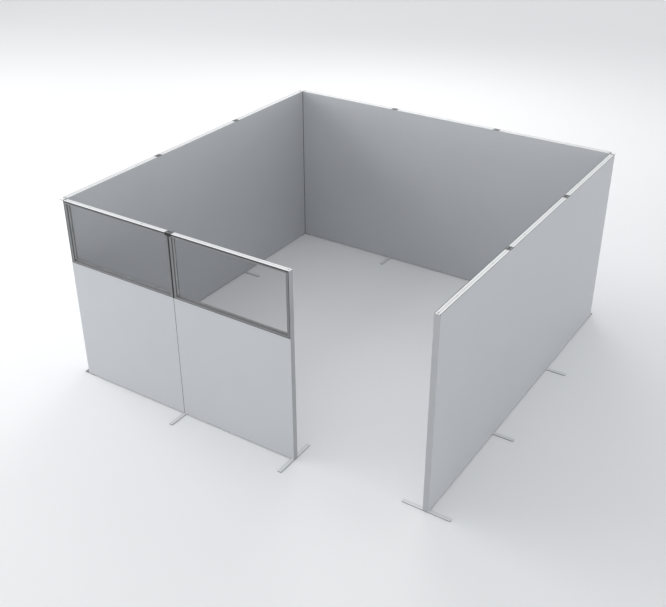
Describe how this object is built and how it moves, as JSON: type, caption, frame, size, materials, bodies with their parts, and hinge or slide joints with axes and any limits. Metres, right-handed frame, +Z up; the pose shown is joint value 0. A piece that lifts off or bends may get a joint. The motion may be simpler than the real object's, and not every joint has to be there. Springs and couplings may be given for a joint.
{
  "type": "office partition",
  "caption": "Square room of linked straight partition modules on flat bar feet, with a half-glazed front wall beside an open doorway and lift-out link clips on top.",
  "frame": {"origin": "on the floor at the centre of the room", "axes": "+X to the right along the front wall, +Y from the front wall to the back wall, +Z up"},
  "size_m": [3.402, 3.402, 1.5025],
  "materials": {
    "anodised_frame": "satin anodised extrusion",
    "white_capping": "white powder coat",
    "wall_skin": "light grey laminate",
    "core_board": "light acoustic board",
    "rubber": "black rubber",
    "tinted_glass": "lightly grey-tinted flat glass",
    "clip_dark": "dark moulded plastic",
    "foot_steel": "grey powder coat",
    "screw_steel": "plain steel",
    "screw_dark": "blackened steel",
    "trim_light": "light grey powder coat",
    "cleat_metal": "as cast"
  },
  "bodies": {
    "partition": {"back_bottom_rails": "anodised_frame", "back_capping": "white_capping", "back_cores": "core_board", "back_feet": "foot_steel", "back_mid_rails": "anodised_frame", "back_skin_inner": "wall_skin", "back_skin_outer": "wall_skin", "back_stiles": "anodised_frame", "back_top_rails": "anodised_frame", "bottom_cleats": "cleat_metal", "capping_screws": "screw_dark", "corner_bases": "foot_steel", "corner_head_screws": "screw_steel", "corner_heads": "white_capping", "corner_seals": "rubber", "end_trims": "trim_light", "floor_strips": "rubber", "foot_screws": "screw_steel", "front_bottom_rails": "anodised_frame", "front_capping": "white_capping", "front_cores": "core_board", "front_feet": "foot_steel", "front_gaskets": "rubber", "front_glass_1": "tinted_glass", "front_glass_2": "tinted_glass", "front_glazing_beads": "anodised_frame", "front_lower_panel_inner_1": "wall_skin", "front_lower_panel_inner_2": "wall_skin", "front_lower_panel_outer_1": "wall_skin", "front_lower_panel_outer_2": "wall_skin", "front_mid_rails": "anodised_frame", "front_stiles": "anodised_frame", "front_top_rails": "anodised_frame", "left_bottom_rails": "anodised_frame", "left_capping": "white_capping", "left_cores": "core_board", "left_feet": "foot_steel", "left_mid_rails": "anodised_frame", "left_skin_inner": "wall_skin", "left_skin_outer": "wall_skin", "left_stiles": "anodised_frame", "left_top_rails": "anodised_frame", "mid_cleats": "cleat_metal", "right_bottom_rails": "anodised_frame", "right_capping": "white_capping", "right_cores": "core_board", "right_feet": "foot_steel", "right_mid_rails": "anodised_frame", "right_skin_inner": "wall_skin", "right_skin_outer": "wall_skin", "right_stiles": "anodised_frame", "right_top_rails": "anodised_frame", "top_cleats": "cleat_metal"},
    "clip_back_1": {"clip_back_1": "clip_dark"},
    "clip_back_2": {"clip_back_2": "clip_dark"},
    "clip_front_1": {"clip_front_1": "clip_dark"},
    "clip_left_1": {"clip_left_1": "clip_dark"},
    "clip_left_2": {"clip_left_2": "clip_dark"},
    "clip_right_1": {"clip_right_1": "clip_dark"},
    "clip_right_2": {"clip_right_2": "clip_dark"}
  },
  "joints": [
    {"name": "clip_back_1_lift", "type": "slide", "parent": "partition", "child": "clip_back_1", "axis": [0, 0, 1], "range_m": [0, 0.04]},
    {"name": "clip_back_2_lift", "type": "slide", "parent": "partition", "child": "clip_back_2", "axis": [0, 0, 1], "range_m": [0, 0.04]},
    {"name": "clip_front_1_lift", "type": "slide", "parent": "partition", "child": "clip_front_1", "axis": [0, 0, 1], "range_m": [0, 0.04]},
    {"name": "clip_left_1_lift", "type": "slide", "parent": "partition", "child": "clip_left_1", "axis": [0, 0, 1], "range_m": [0, 0.04]},
    {"name": "clip_left_2_lift", "type": "slide", "parent": "partition", "child": "clip_left_2", "axis": [0, 0, 1], "range_m": [0, 0.04]},
    {"name": "clip_right_1_lift", "type": "slide", "parent": "partition", "child": "clip_right_1", "axis": [0, 0, 1], "range_m": [0, 0.04]},
    {"name": "clip_right_2_lift", "type": "slide", "parent": "partition", "child": "clip_right_2", "axis": [0, 0, 1], "range_m": [0, 0.04]}
  ]
}
